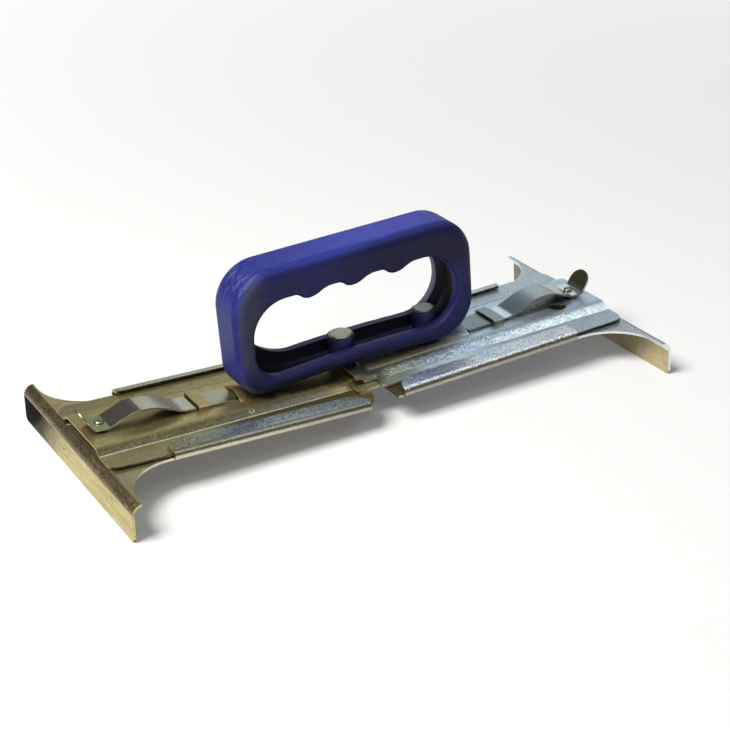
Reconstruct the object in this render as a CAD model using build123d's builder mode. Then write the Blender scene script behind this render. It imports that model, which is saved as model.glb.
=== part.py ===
from build123d import *
import os
from math import sin, cos, tan, acos, atan2, radians, degrees, sqrt, hypot

os.makedirs("parts", exist_ok=True)

# ---- driving dimensions, mm ------------------------------------------------
SHEET = 1.3             # plates and jaw slides
HALF_LENGTH = 153.6     # knee line to the outer face of a jaw
JAW_DROP = 19.2         # top of a slide's floor to the lower edge of its jaw
JAW_HALF = 73.4         # half the width of a jaw
BEND_START = 148.3      # where the floor starts to bend down into the jaw
NECK_R = 28.5           # concave flare between the slide and its jaw
TILT_RIGHT = 1.67       # degrees: both halves rise towards their outer ends
TILT_LEFT = 2.48

FLOOR_IN = 6.6          # inner end of a slide's floor
FOLD_IN, FOLD_OUT = 9.9, 117.4   # length of the folded edges
FOLD_HALF = 41.0        # half the width over the folded edges
FOLD_R, ROLL_R = 1.6, 3.2   # outside radius of the lower and upper folds
NECK_HALF = 39.5        # half the width of the floor where the flare starts
LIP_WIDE, LIP_SLIM = 29.6, 34.8   # inner edges of the two lips, from the middle
LIP_TOP = 3.9           # top of the lips above the floor
LIP_ROUND = (10.6, 4.0)   # rounding of their inner ends
HOLE_PITCH = 25.0       # row of locking holes in the floor
HOLES = 5

PLATE_GAP = 0.5         # running gap under a plate
PLATE_HALF = 38.4
PLATE_OUT = 149.6       # outer end of a plate
PLATE_IN = 4.6          # inner end of a plate's flanges
CREST = 5.0             # top of a plate's raised middle
FOOT_IN, FOOT_OUT = 20.0, 24.6    # half the width of the raised middle, at its foot
SLOPE = 5.0             # run of the sloping sides

LEAF = 1.0              # latch leaf thickness
LEAF_HALF = 7.7
TAB_R = 7.2             # round finger tab at its end
LEAF_TAIL = 66.0        # tail of the leaf, tucked under a pressed half dome
PIN_U = 139.9           # locking pin and its hole
LATCH_REST = 0.9        # degrees the leaf stands up from the locked position

HANDLE_L, HANDLE_R = -67.3, 71.1  # ends of the handle along the right half
HANDLE_BASE, HANDLE_TOP = 9.4, 74.7   # base is slightly arched, this is its middle
BASE_R = 750.0          # radius of that arch
EDGE_R, RIM_R, BACK_R = 6.0, 2.9, 1.2   # rounding of the outer edges and of the opening's front and back edges
HANDLE_HALF = 13.9      # half the depth of the handle
RIVETS = (-3.7, 46.8)   # rivet positions along the right half
BOSS_TOP = 22.9
BOSS_R = (7.1, 6.7)
HEAD_R, HEAD_H = (6.3, 5.8), 0.9   # rivet heads

# ---- frames of the two halves: x outward, y across, z up from the slide's floor
rx, lx = radians(TILT_RIGHT), radians(TILT_LEFT)
REACH_R = HALF_LENGTH * cos(rx) + JAW_DROP * sin(rx)
REACH_L = HALF_LENGTH * cos(lx) + JAW_DROP * sin(lx)
SHIFT = (REACH_L - REACH_R) / 2


def half(side, a):
    lift = JAW_DROP * cos(a) - (HALF_LENGTH - SHEET) * sin(a)
    return Plane(
        origin=(SHIFT, 0, lift),
        x_dir=(side * cos(a), 0, sin(a)),
        z_dir=(-side * sin(a), 0, cos(a)),
    )


RIGHT, LEFT = half(1, rx), half(-1, lx)


def level(f, w):
    return Plane(origin=f.from_local_coords((0, 0, w)), x_dir=f.x_dir, z_dir=f.z_dir)


def across(f, u):
    return Plane(origin=f.from_local_coords((u, 0, 0)), x_dir=f.y_dir, z_dir=f.x_dir)


def along(f, v=0.0):
    return Plane(origin=f.from_local_coords((0, v, 0)), x_dir=f.x_dir, z_dir=-f.y_dir)


def pick(shape, f, spots, tol=0.25):
    found = []
    for e in shape.edges():
        c = f.to_local_coords(e.center())
        for u, v, w in spots:
            if abs(c.X - u) < tol and abs(c.Y - v) < tol and abs(c.Z - w) < tol:
                found.append(e)
                break
    return found


# ---- jaw slides ------------------------------------------------------------
def jaw_slide(f, wide, neck_1=NECK_HALF, neck_2=NECK_HALF):
    """`wide` is the side, 1 or -1, with the wide lip."""
    ro = HALF_LENGTH - BEND_START
    ri = ro - SHEET
    neck = BEND_START - NECK_R
    top = LIP_TOP
    out, c = FOLD_HALF, FOLD_HALF - FOLD_R
    with BuildPart() as slide:
        # floor, bend and jaw
        with BuildSketch(along(f)):
            with BuildLine():
                Line((FLOOR_IN, 0), (BEND_START, 0))
                CenterArc((BEND_START, -ro), ro, 0, 90)
                Line((HALF_LENGTH, -ro), (HALF_LENGTH, -JAW_DROP))
                Line((HALF_LENGTH, -JAW_DROP), (HALF_LENGTH - SHEET, -JAW_DROP))
                Line((HALF_LENGTH - SHEET, -JAW_DROP), (HALF_LENGTH - SHEET, -ro))
                CenterArc((BEND_START, -ro), ri, 0, 90)
                Line((BEND_START, -SHEET), (FLOOR_IN, -SHEET))
                Line((FLOOR_IN, -SHEET), (FLOOR_IN, 0))
            make_face()
        extrude(amount=JAW_HALF, both=True)
        # flared neck
        with BuildSketch(level(f, 1)):
            for side, n in ((1, neck_1), (-1, neck_2)):
                with BuildLine():
                    Line((FLOOR_IN - 1, side * n), (neck, side * n))
                    CenterArc((neck, side * (n + NECK_R)), NECK_R, -90 * side, 90 * side)
                    Polyline(
                        (BEND_START, side * (n + NECK_R)), (BEND_START, side * (JAW_HALF + 4)),
                        (FLOOR_IN - 1, side * (JAW_HALF + 4)), (FLOOR_IN - 1, side * n),
                    )
                make_face()
            # one inner corner of the floor is cut off
            Polygon((FLOOR_IN - 1, 24), (FOLD_IN + 0.4, out), (FLOOR_IN - 1, out), align=None)
        extrude(amount=-SHEET - 2, mode=Mode.SUBTRACT)
        # room for the folded edges
        with BuildSketch(level(f, 1)):
            with Locations(((FOLD_IN + FOLD_OUT) / 2, c + 5), ((FOLD_IN + FOLD_OUT) / 2, -c - 5)):
                Rectangle(FOLD_OUT - FOLD_IN, 14)
        extrude(amount=-SHEET - 2, mode=Mode.SUBTRACT)
        # folded edges
        lips = ((wide, LIP_WIDE, LIP_ROUND[0]), (-wide, LIP_SLIM, LIP_ROUND[1]))
        d = out - ROLL_R
        with BuildSketch(across(f, FOLD_IN)):
            for s, lip, r in lips:
                with BuildLine():
                    Line((s * (c - 3), -SHEET), (s * c, -SHEET))
                    CenterArc((s * c, FOLD_R - SHEET), FOLD_R, -90, 90 * s)
                    Line((s * out, FOLD_R - SHEET), (s * out, top - ROLL_R))
                    CenterArc((s * d, top - ROLL_R), ROLL_R, 90, -90 * s)
                    Polyline((s * d, top), (s * lip, top), (s * lip, top - SHEET), (s * d, top - SHEET))
                    CenterArc((s * d, top - ROLL_R), ROLL_R - SHEET, 90, -90 * s)
                    Line((s * (out - SHEET), top - ROLL_R), (s * (out - SHEET), FOLD_R - SHEET))
                    CenterArc((s * c, FOLD_R - SHEET), FOLD_R - SHEET, -90, 90 * s)
                    Polyline((s * c, 0), (s * (c - 3), 0), (s * (c - 3), -SHEET))
                make_face()
        extrude(amount=FOLD_OUT - FOLD_IN)
        # lip corners and the lower corners of the jaw
        w = LIP_TOP - SHEET / 2
        with BuildSketch(level(f, LIP_TOP + 1)):
            for s, lip, r in lips:
                with BuildLine():
                    CenterArc((FOLD_IN + r, s * (lip + r)), r, 180, 90 * s)
                    Polyline(
                        (FOLD_IN + r, s * lip), (FOLD_IN + r, s * (lip - 1)),
                        (FOLD_IN - 1, s * (lip - 1)), (FOLD_IN - 1, s * (lip + r)), (FOLD_IN, s * (lip + r)),
                    )
                make_face()
        extrude(amount=-SHEET - 1.3, mode=Mode.SUBTRACT)
        fillet(pick(slide.part, f, [(FOLD_OUT, s * lip, w) for s, lip, r in lips]), 2)
        fillet(pick(slide.part, f, [(HALF_LENGTH - SHEET / 2, s * JAW_HALF, -JAW_DROP) for s in (1, -1)]), 3)
        # locking holes and two small holes
        with BuildSketch(level(f, 1)):
            with Locations(*[(PIN_U - i * HOLE_PITCH, 0) for i in range(HOLES)]):
                Circle(2.6)
            with Locations((148.4, -20.8)):
                Circle(1.7)
        extrude(amount=-5, mode=Mode.SUBTRACT)
        with BuildSketch(across(f, HALF_LENGTH + 1)):
            with Locations((-15.4, -10.6)):
                Circle(0.9)
        extrude(amount=-4, mode=Mode.SUBTRACT)
    return slide


right_jaw_slide = jaw_slide(RIGHT, -1)
right_jaw_slide.part.label = "right_jaw_slide"
left_jaw_slide = jaw_slide(LEFT, 1, neck_2=37.6)
left_jaw_slide.part.label = "left_jaw_slide"


# ---- pressed plates --------------------------------------------------------
RISE = CREST - PLATE_GAP - SHEET
FLARE = ((4.6, 29.0), (7.3, 25.8), (9.5, 23.3), (12.0, 21.4), (15.5, 20.35))   # the raised middle spreads out at the knee: station, foot


def foot_at(u):
    return FOOT_IN + (FOOT_OUT - FOOT_IN) * (u - PLATE_IN) / (PLATE_OUT - PLATE_IN)


def hat_section(f, u, F):
    """Cross-section with its foot at F. Bend radii are larger on the outside of each bend."""
    b, t, p, Q = PLATE_GAP, PLATE_GAP + SHEET, CREST, foot_at(u) - SLOPE
    lean = SHEET * tan(atan2(RISE, F - Q) / 2)
    one = [(PLATE_HALF, b), (PLATE_HALF, t), (F, t), (Q, p)]
    under = [(Q - lean, p - SHEET), (F - lean, b)]
    pts = one + [(-x, y) for x, y in reversed(one)] + [(-x, y) for x, y in reversed(under)] + under
    with BuildSketch(across(f, u)) as section:
        Polygon(*pts, align=None)
        for x, y, r in ((Q, p, 11.0), (Q - lean, p - SHEET, 9.7), (F, t, 0.7), (F - lean, b, 2.0)):
            fillet([v for v in section.vertices() if abs(abs(v.X) - x) < 0.01 and abs(v.Y - y) < 0.01], r)
    return section.sketch


def hat(f, stations):
    """Raised middle with a flange on each side, through the given stations to the outer end."""
    loft([hat_section(f, u, F) for u, F in stations] + [hat_section(f, PLATE_OUT, FOOT_OUT)], ruled=True)


def outer_corners(plate, f):
    fillet(pick(plate.part, f, [(PLATE_OUT, s * PLATE_HALF, PLATE_GAP + SHEET / 2) for s in (1, -1)]), 6)


STRAP_IN, STRAP_OUT, STRAP_H, STRAP_T = 84.8, 90.6, 3.0, 1.1
DOME_U, DOME_R, DOME_H, DOME_T = 68.0, 10.4, 3.6, 1.2


def pressings(f):
    """Strap over the leaf, half dome over its tail, holes."""
    p = CREST
    ball = (DOME_R ** 2 + DOME_H ** 2) / (2 * DOME_H)
    mid = p + DOME_H - ball
    room = sqrt((ball - DOME_T) ** 2 - (p - mid) ** 2)
    with BuildSketch(level(f, p + 1)) as openings:
        with Locations(((STRAP_IN + STRAP_OUT) / 2, 0)):
            Rectangle(STRAP_OUT - STRAP_IN, 18.2)
        with BuildLine():
            CenterArc((DOME_U, 0), room, 90, 180)
            Line((DOME_U, room), (DOME_U, -room))
        make_face()
        with Locations((PIN_U, 0)):
            Circle(2.6)
        with Locations((125.6, -10.2)):
            Circle(4.7)
    extrude(openings.sketch, amount=-SHEET - 1.6, mode=Mode.SUBTRACT)
    # strap
    h = p + STRAP_H
    with BuildSketch(across(f, STRAP_IN)) as strap:
        with BuildLine():
            o, r, t = 9.9, 1.8, STRAP_T
            Line((-o + r, h), (o - r, h))
            CenterArc((o - r, h - r), r, 0, 90)
            Polyline((o, h - r), (o + 0.5, p - 0.3), (o - t + 0.2, p - 0.3), (o - t, h - r))
            CenterArc((o - r, h - r), r - t, 0, 90)
            Line((o - r, h - t), (-o + r, h - t))
            CenterArc((-o + r, h - r), r - t, 90, 90)
            Polyline((-o + t, h - r), (-o + t - 0.2, p - 0.3), (-o - 0.5, p - 0.3), (-o, h - r))
            CenterArc((-o + r, h - r), r, 90, 90)
        make_face()
    extrude(strap.sketch, amount=STRAP_OUT - STRAP_IN)
    # half dome
    low = p - 0.5
    with BuildSketch(across(f, DOME_U)) as dome:
        with BuildLine():
            ao = sqrt(ball ** 2 - (low - mid) ** 2)
            ai = sqrt((ball - DOME_T) ** 2 - (low - mid) ** 2)
            ThreePointArc((0, p + DOME_H), (ball * sin(0.35), mid + ball * cos(0.35)), (ao, low))
            Line((ao, low), (ai, low))
            ThreePointArc((ai, low), ((ball - DOME_T) * sin(0.35), mid + (ball - DOME_T) * cos(0.35)), (0, p + DOME_H - DOME_T))
            Line((0, p + DOME_H - DOME_T), (0, p + DOME_H))
        make_face()
    revolve(dome.sketch, axis=Axis(f.from_local_coords((DOME_U, 0, 0)), f.z_dir), revolution_arc=180)


# knee: the right plate ends in an eye with a bar, the left plate in a hook over it
BAR_L, BAR_R, BAR_TOP = -9.1, -6.9, PLATE_GAP + SHEET
EYE_HALF, EYE_IN = 26.0, 19.4
TONGUE_ROOT, TONGUE_END, TONGUE_TOP = 3.0, -7.5, 8.0   # the tongue rises from the plate's crest to its free end
TONGUE_RISE = (TONGUE_TOP - CREST) / (TONGUE_ROOT - TONGUE_END)

with BuildPart() as right_plate:
    # eye: side bars and end bar
    with BuildSketch(level(RIGHT, PLATE_GAP)):
        with Locations(((BAR_L + 10) / 2, 0)):
            Rectangle(10 - BAR_L, 2 * EYE_HALF)
    extrude(amount=SHEET)
    fillet(pick(right_plate.part, RIGHT, [(BAR_L, s * EYE_HALF, BAR_TOP - SHEET / 2) for s in (1, -1)]), 3)
    with BuildSketch(level(RIGHT, 4)):
        with Locations(((BAR_R + 12) / 2, 0)):
            Rectangle(12 - BAR_R, 2 * EYE_IN)
    extrude(amount=-6, mode=Mode.SUBTRACT)
    hat(RIGHT, FLARE)
    outer_corners(right_plate, RIGHT)
    # flanges cut back beside the eye
    with BuildSketch(level(RIGHT, CREST)):
        for s in (1, -1):
            with BuildLine():
                Line((PLATE_IN - 2, s * 26.2), (8.6, s * 28.6))
                Polyline((8.6, s * 28.6), (17, s * 28.6), (24, s * (PLATE_HALF + 1)), (PLATE_IN - 2, s * (PLATE_HALF + 1)), (PLATE_IN - 2, s * 26.2))
            make_face()
    extrude(amount=-CREST - 2, mode=Mode.SUBTRACT)
    pressings(RIGHT)
    # rising tongue that carries the handle's middle boss, edges curved down
    def tongue(u, top):
        c, r, a = 16.9, 4.7, 57
        q = radians(90 - a)
        with BuildSketch(across(RIGHT, u)) as section:
            with BuildLine():
                Line((-c, top), (c, top))
                CenterArc((c, top - r), r, 90, -a)
                Line((c + r * cos(q), top - r + r * sin(q)), (c + (r - SHEET) * cos(q), top - r + (r - SHEET) * sin(q)))
                CenterArc((c, top - r), r - SHEET, 90, -a)
                Line((c, top - SHEET), (-c, top - SHEET))
                CenterArc((-c, top - r), r - SHEET, 90, a)
                Line((-c - (r - SHEET) * cos(q), top - r + (r - SHEET) * sin(q)), (-c - r * cos(q), top - r + r * sin(q)))
                CenterArc((-c, top - r), r, 90, a)
            make_face()
        return section.sketch
    loft([tongue(TONGUE_END, TONGUE_TOP), tongue(TONGUE_ROOT, CREST), tongue(8.0, CREST - 0.8)], ruled=True)
    # rivet holes
    with BuildSketch(level(RIGHT, TONGUE_TOP + 1)):
        with Locations(*[(u, 0) for u in RIVETS]):
            Circle(3.1)
    extrude(amount=-7, mode=Mode.SUBTRACT)
right_plate.part.label = "right_plate"

with BuildPart() as left_plate:
    HAT_END, LEG_IN, FAR_EDGE = 9.9, 2.6, 36.2
    hat(LEFT, ((HAT_END, foot_at(HAT_END)),))
    # one flange is trimmed narrower
    with BuildSketch(level(LEFT, CREST)):
        with Locations(((HAT_END + PLATE_OUT) / 2, -FAR_EDGE - 5)):
            Rectangle(PLATE_OUT, 10)
    extrude(amount=-CREST - 2, mode=Mode.SUBTRACT)
    fillet(pick(left_plate.part, LEFT, [(PLATE_OUT, v, PLATE_GAP + SHEET / 2) for v in (PLATE_HALF, -FAR_EDGE)]), 6)
    # the two flanges run on past the raised middle
    inner = EYE_HALF + 0.6
    with BuildSketch(level(LEFT, PLATE_GAP)):
        for lo, hi in ((inner, PLATE_HALF), (-FAR_EDGE, -inner)):
            with Locations(((LEG_IN + HAT_END + 2) / 2, (lo + hi) / 2)):
                Rectangle(HAT_END + 2 - LEG_IN, hi - lo)
    extrude(amount=SHEET)
    fillet(pick(left_plate.part, LEFT, [(LEG_IN, PLATE_HALF, PLATE_GAP + SHEET / 2)]), 11)
    fillet(pick(left_plate.part, LEFT, [(LEG_IN, -FAR_EDGE, PLATE_GAP + SHEET / 2)]), 5)
    pressings(LEFT)
    # hook: raised where it crosses the bar of the eye, then stepped down and on under the tongue
    def xz(f, u, w):
        q = f.from_local_coords((u, 0, w))
        return (q.X, q.Z)
    k, top, low, start = CREST, PLATE_GAP + SHEET - 0.05, PLATE_GAP - 0.05, BAR_R + 0.5
    with BuildSketch(Plane.XZ):
        Polygon(
            xz(LEFT, 13, k), xz(LEFT, 9.5, k), xz(LEFT, 9.35, k + 0.8), xz(LEFT, 7.7, k + 0.8), xz(LEFT, 6.8, k + 0.45), xz(LEFT, 6.1, k - 0.4), xz(RIGHT, -4.6, top),
            xz(RIGHT, -4.6, low), xz(RIGHT, start, low), xz(RIGHT, start, top),
            xz(LEFT, 6.9, k - SHEET), xz(LEFT, 13, k - SHEET), align=None,
        )
    extrude(amount=15.8, both=True)
    for u0, u1, wide in ((start, -1.5, 18.9), (-1.6, 2.6, 16.6)):
        with BuildSketch(level(RIGHT, low)):
            with Locations(((u0 + u1) / 2, 0)):
                Rectangle(u1 - u0, 2 * wide)
        extrude(amount=top - low)
left_plate.part.label = "left_plate"


# ---- latches ---------------------------------------------------------------
def latch_frame(f):
    a = radians(LATCH_REST)
    x, z = f.x_dir, f.z_dir
    return Plane(
        origin=f.from_local_coords((LEAF_TAIL, 0, CREST + 0.1)),
        x_dir=x * cos(a) + z * sin(a),
        z_dir=z * cos(a) - x * sin(a),
    )


# upper side of the arch, measured from the tail (along, up)
ARCH = [(29.0, 1.0), (33.0, 1.6), (37.0, 3.15), (44.6, 5.7), (50.0, 6.62), (55.0, 6.72), (59.3, 6.3)]
FOLD = (71.2, 1.0)
TAB_BEND, TAB_ANGLE, TAB_FLAT = 77.6, 54.0, 3.4


def latch_spring(f):
    g = latch_frame(f)
    n = len(ARCH)
    under = []
    for i, (x, y) in enumerate(ARCH):
        x0, y0 = ARCH[max(i - 1, 0)]
        x1, y1 = ARCH[min(i + 1, n - 1)] if i < n - 1 else FOLD
        if i == 0:
            x0, y0 = x - 4, y
        d = hypot(x1 - x0, y1 - y0)
        under.append((x + LEAF * (y1 - y0) / d, y - LEAF * (x1 - x0) / d))
    a = radians(TAB_ANGLE)
    ux, uy = cos(a), sin(a)
    with BuildPart() as spring:
        with BuildSketch(along(g)):
            with BuildLine():
                Line((0, LEAF), ARCH[0])
                Spline(*ARCH, tangents=[(1, 0.05), (1, -0.12)])
                Polyline(ARCH[-1], FOLD, (TAB_BEND, LEAF), (TAB_BEND, 0), (FOLD[0] - 0.2, 0), under[-1])
                Spline(*reversed(under), tangents=[(-1, 0.12), (-1, -0.05)])
                Polyline(under[0], (0, 0), (0, LEAF))
            make_face()
        extrude(amount=LEAF_HALF, both=True)
        # finger tab: a bend, a short flat and a round end
        i1 = (TAB_BEND + 1.0 * sin(a), LEAF + 1 - 1.0 * cos(a))
        o1 = (TAB_BEND + 2.0 * sin(a), LEAF + 1 - 2.0 * cos(a))
        i2 = (i1[0] + TAB_FLAT * ux, i1[1] + TAB_FLAT * uy)
        o2 = (o1[0] + TAB_FLAT * ux, o1[1] + TAB_FLAT * uy)
        with BuildSketch(along(g)):
            with BuildLine():
                Line((TAB_BEND - 1, LEAF), (TAB_BEND, LEAF))
                CenterArc((TAB_BEND, LEAF + 1), 1.0, -90, TAB_ANGLE)
                Polyline(i1, i2, o2, o1)
                CenterArc((TAB_BEND, LEAF + 1), 2.0, -90, TAB_ANGLE)
                Polyline((TAB_BEND, 0), (TAB_BEND - 1, 0), (TAB_BEND - 1, LEAF))
            make_face()
        extrude(amount=TAB_R, both=True)
        tab = Plane(
            origin=g.from_local_coords((o1[0], 0, o1[1])),
            x_dir=g.y_dir,
            z_dir=g.x_dir * uy - g.z_dir * ux,
        )
        with BuildSketch(tab):
            with BuildLine():
                CenterArc((0, TAB_FLAT), TAB_R, 0, 180)
                Line((-TAB_R, TAB_FLAT), (TAB_R, TAB_FLAT))
            make_face()
        extrude(amount=-LEAF)
        # narrow tail
        with BuildSketch(level(g, 3)):
            with BuildLine():
                Polyline((-1, 3.4), (0, 3.4), (2.0, 4.8), (4.4, LEAF_HALF), (4.4, LEAF_HALF + 2), (-1, LEAF_HALF + 2), (-1, 3.4))
            make_face()
            mirror(about=Plane.XZ)
        extrude(amount=-5, mode=Mode.SUBTRACT)
        # hole for the pin
        with BuildSketch(level(g, 3)):
            with Locations((PIN_U - LEAF_TAIL, 0)):
                Circle(1.9)
        extrude(amount=-5, mode=Mode.SUBTRACT)
    return spring


def latch_pin(f):
    g = latch_frame(f)
    u = PIN_U - LEAF_TAIL
    tip = -CREST - 1.01
    with BuildPart() as pin:
        with BuildSketch(along(g)):
            with BuildLine():
                Polyline((u, LEAF + 1.3), (u + 1.1, LEAF + 1.3))
                ThreePointArc((u + 1.1, LEAF + 1.3), (u + 2.05, LEAF + 0.95), (u + 2.5, LEAF + 0.05))
                Polyline(
                    (u + 2.5, LEAF + 0.05), (u + 1.85, LEAF + 0.05), (u + 1.85, -0.05), (u + 2.1, -0.05),
                    (u + 2.1, tip + 0.7), (u + 1.5, tip), (u, tip), (u, LEAF + 1.3),
                )
            make_face()
        revolve(axis=Axis(g.from_local_coords((u, 0, 0)), g.z_dir))
    return pin


right_latch_spring = latch_spring(RIGHT)
right_latch_spring.part.label = "right_latch_spring"
left_latch_spring = latch_spring(LEFT)
left_latch_spring.part.label = "left_latch_spring"
right_latch_pin = latch_pin(RIGHT)
right_latch_pin.part.label = "right_latch_pin"
left_latch_pin = latch_pin(LEFT)
left_latch_pin.part.label = "left_latch_pin"


# ---- handle ----------------------------------------------------------------
with BuildPart() as handle:
    xl, xr, zt = HANDLE_L, HANDLE_R, HANDLE_TOP
    TL, TR, BL, BR = 22.5, 21.5, 14.5, 22.0
    xm, zm = -2.0, HANDLE_BASE - BASE_R    # centre of the arched base
    lc = (xl + BL, zm + sqrt((BASE_R + BL) ** 2 - (xl + BL - xm) ** 2))
    rc = (xr - BR, zm + sqrt((BASE_R + BR) ** 2 - (xr - BR - xm) ** 2))
    lt = (lc[0] + BL * (xm - lc[0]) / (BASE_R + BL), lc[1] + BL * (zm - lc[1]) / (BASE_R + BL))
    rt = (rc[0] + BR * (xm - rc[0]) / (BASE_R + BR), rc[1] + BR * (zm - rc[1]) / (BASE_R + BR))
    la = degrees(atan2(lt[1] - lc[1], lt[0] - lc[0]))
    ra = degrees(atan2(rt[1] - rc[1], rt[0] - rc[0]))
    with BuildSketch(along(RIGHT)):
        with BuildLine():
            ThreePointArc(lt, (xm, HANDLE_BASE), rt)
            CenterArc(rc, BR, ra, -ra)
            Line((xr, rc[1]), (xr, zt - TR))
            CenterArc((xr - TR, zt - TR), TR, 0, 90)
            Line((xr - TR, zt), (xl + TL, zt))
            CenterArc((xl + TL, zt - TL), TL, 90, 90)
            Line((xl, zt - TL), (xl, lc[1]))
            CenterArc(lc, BL, 180, 180 + la)
        make_face()
    extrude(amount=HANDLE_HALF, both=True)
    # hand opening with three finger bumps above
    ol, orr, ob, ot = -57.4, 60.5, 18.5, 57.5
    R1, R2, R3, R4 = 13.0, 19.0, 19.5, 19.5
    BUMPS, BUMP_H = (-25.3, -0.6, 24.2), 3.5
    STEEP, GENTLE = 6.0, 13.5       # radii on the two sides of a bump
    a1, a2 = acos(1 - BUMP_H / (2 * STEEP)), acos(1 - BUMP_H / (2 * GENTLE))
    run1, run2 = 2 * STEEP * sin(a1), 2 * GENTLE * sin(a2)
    d1, d2 = degrees(a1), degrees(a2)
    xo, ro = 3.0, 700.0             # the lower edge is arched like the base
    zo = ob - ro
    c1 = (ol + R1, zo + sqrt((ro + R1) ** 2 - (ol + R1 - xo) ** 2))
    c4 = (orr - R4, zo + sqrt((ro + R4) ** 2 - (orr - R4 - xo) ** 2))
    t1 = (c1[0] + R1 * (xo - c1[0]) / (ro + R1), c1[1] + R1 * (zo - c1[1]) / (ro + R1))
    t4 = (c4[0] + R4 * (xo - c4[0]) / (ro + R4), c4[1] + R4 * (zo - c4[1]) / (ro + R4))
    e1 = degrees(atan2(t1[1] - c1[1], t1[0] - c1[0]))
    e4 = degrees(atan2(t4[1] - c4[1], t4[0] - c4[0]))
    with BuildSketch(along(RIGHT)):
        with BuildLine():
            ThreePointArc(t1, (xo, ob), t4)
            CenterArc(c4, R4, e4, -e4)
            Line((orr, c4[1]), (orr, ot - R3))
            CenterArc((orr - R3, ot - R3), R3, 0, 90)
            x = orr - R3
            for u in reversed(BUMPS):
                Line((x, ot), (u + run2, ot))
                CenterArc((u + run2, ot - GENTLE), GENTLE, 90, d2)
                CenterArc((u, ot - BUMP_H + GENTLE), GENTLE, 270, d2)
                CenterArc((u, ot - BUMP_H + STEEP), STEEP, 270 - d1, d1)
                CenterArc((u - run1, ot - STEEP), STEEP, 90 - d1, d1)
                x = u - run1
            Line((x, ot), (ol + R2, ot))
            CenterArc((ol + R2, ot - R2), R2, 90, 90)
            Line((ol, ot - R2), (ol, c1[1]))
            CenterArc(c1, R1, 180, 180 + e1)
        make_face()
    extrude(amount=HANDLE_HALF + 1, both=True, mode=Mode.SUBTRACT)

    def inside(e):
        c = RIGHT.to_local_coords(e.center())
        return ol - 0.5 < c.X < orr + 0.5 and ob - 3 < c.Z < ot + 0.5

    rims = [e for e in handle.part.edges() if abs(abs(RIGHT.to_local_coords(e.center()).Y) - HANDLE_HALF) < 0.01]
    fillet([e for e in rims if not inside(e)], EDGE_R)
    rims = [e for e in handle.part.edges() if abs(abs(RIGHT.to_local_coords(e.center()).Y) - HANDLE_HALF) < 0.01]
    fillet([e for e in rims if inside(e) and RIGHT.to_local_coords(e.center()).Y < 0], RIM_R)
    rims = [e for e in handle.part.edges() if abs(RIGHT.to_local_coords(e.center()).Y - HANDLE_HALF) < 0.01]
    fillet([e for e in rims if inside(e)], BACK_R)
    # open trough in the lower bar, carried on as a groove up the inside of both columns
    tl, tr, tb, q1, q2 = ol - 4.6, orr + 4.8, 11.8, 18.0, 23.0
    tt, q3 = 51.0, 10.0
    with BuildSketch(along(RIGHT)):
        with BuildLine():
            Line((tl + q1, tb), (tr - q2, tb))
            CenterArc((tr - q2, tb + q2), q2, -90, 90)
            Line((tr, tb + q2), (tr, tt - q3))
            CenterArc((tr - q3, tt - q3), q3, 0, 90)
            Line((tr - q3, tt), (tl + q3, tt))
            CenterArc((tl + q3, tt - q3), q3, 90, 90)
            Line((tl, tt - q3), (tl, tb + q1))
            CenterArc((tl + q1, tb + q1), q1, 180, 90)
        make_face()
    extrude(amount=8.6, both=True, mode=Mode.SUBTRACT)
    # wide corner web on the back wall of the trough
    wr = 30.0
    wx, wz = ol + wr, zo + sqrt((ro + wr) ** 2 - (ol + wr - xo) ** 2)
    with BuildSketch(along(RIGHT, HANDLE_HALF - BACK_R)):
        with BuildLine():
            Polyline((ol - 0.5, wz), (ol, wz))
            CenterArc((wx, wz), wr, 180, 90)
            Polyline((wx, wz - wr), (wx, wz - wr - 0.8), (ol - 0.5, wz - wr - 0.8), (ol - 0.5, wz))
        make_face()
    extrude(amount=HANDLE_HALF - BACK_R - 8.6)
    # bosses, and feet down to the plate
    with BuildSketch(level(RIGHT, 10.5)):
        for u, r in zip(RIVETS, BOSS_R):
            with Locations((u, 0)):
                Circle(r)
    extrude(amount=BOSS_TOP - 10.5)
    with BuildSketch(level(RIGHT, HANDLE_BASE + 1)):
        with Locations((RIVETS[0], 0)):
            Circle(7.0)
    extrude(amount=CREST - HANDLE_BASE - 1)
    with BuildSketch(along(RIGHT)):
        u0, u1 = TONGUE_END - 3.4, TONGUE_ROOT + 6
        Polygon((u0, CREST + TONGUE_RISE * (TONGUE_ROOT - u0)), (TONGUE_ROOT, CREST), (u1, CREST), (u1, 0), (u0, 0), align=None)
    extrude(amount=9, both=True, mode=Mode.SUBTRACT)
    with BuildSketch(level(RIGHT, HANDLE_BASE + 1)):
        with Locations((RIVETS[1], 0)):
            Circle(7.6)
    extrude(amount=CREST - HANDLE_BASE - 1)
    with BuildSketch(level(RIGHT, BOSS_TOP + 1)):
        with Locations(*[(u, 0) for u in RIVETS]):
            Circle(3.1)
    extrude(amount=-20, mode=Mode.SUBTRACT)
handle.part.label = "handle"


def rivet(u, r, under, foot):
    """Flat round head above; its shank ends at `under`, with a set head of radius `foot` there or none."""
    with BuildPart() as body:
        with BuildSketch(along(RIGHT)):
            h, t = BOSS_TOP, BOSS_TOP + HEAD_H
            with BuildLine():
                Polyline((u, t), (u + r - 0.7, t))
                ThreePointArc((u + r - 0.7, t), (u + r - 0.2, t - 0.18), (u + r, t - 0.55))
                head = [(u + foot, under), (u + foot - 0.2, under - 0.8), (u + foot - 1.4, under - 1.3), (u, under - 1.3)] if foot else [(u, under)]
                Polyline((u + r, t - 0.55), (u + r, h), (u + 3.0, h), (u + 3.0, under), *head, (u, t))
            make_face()
        revolve(axis=Axis(RIGHT.from_local_coords((u, 0, 0)), RIGHT.z_dir))
    return body


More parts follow.
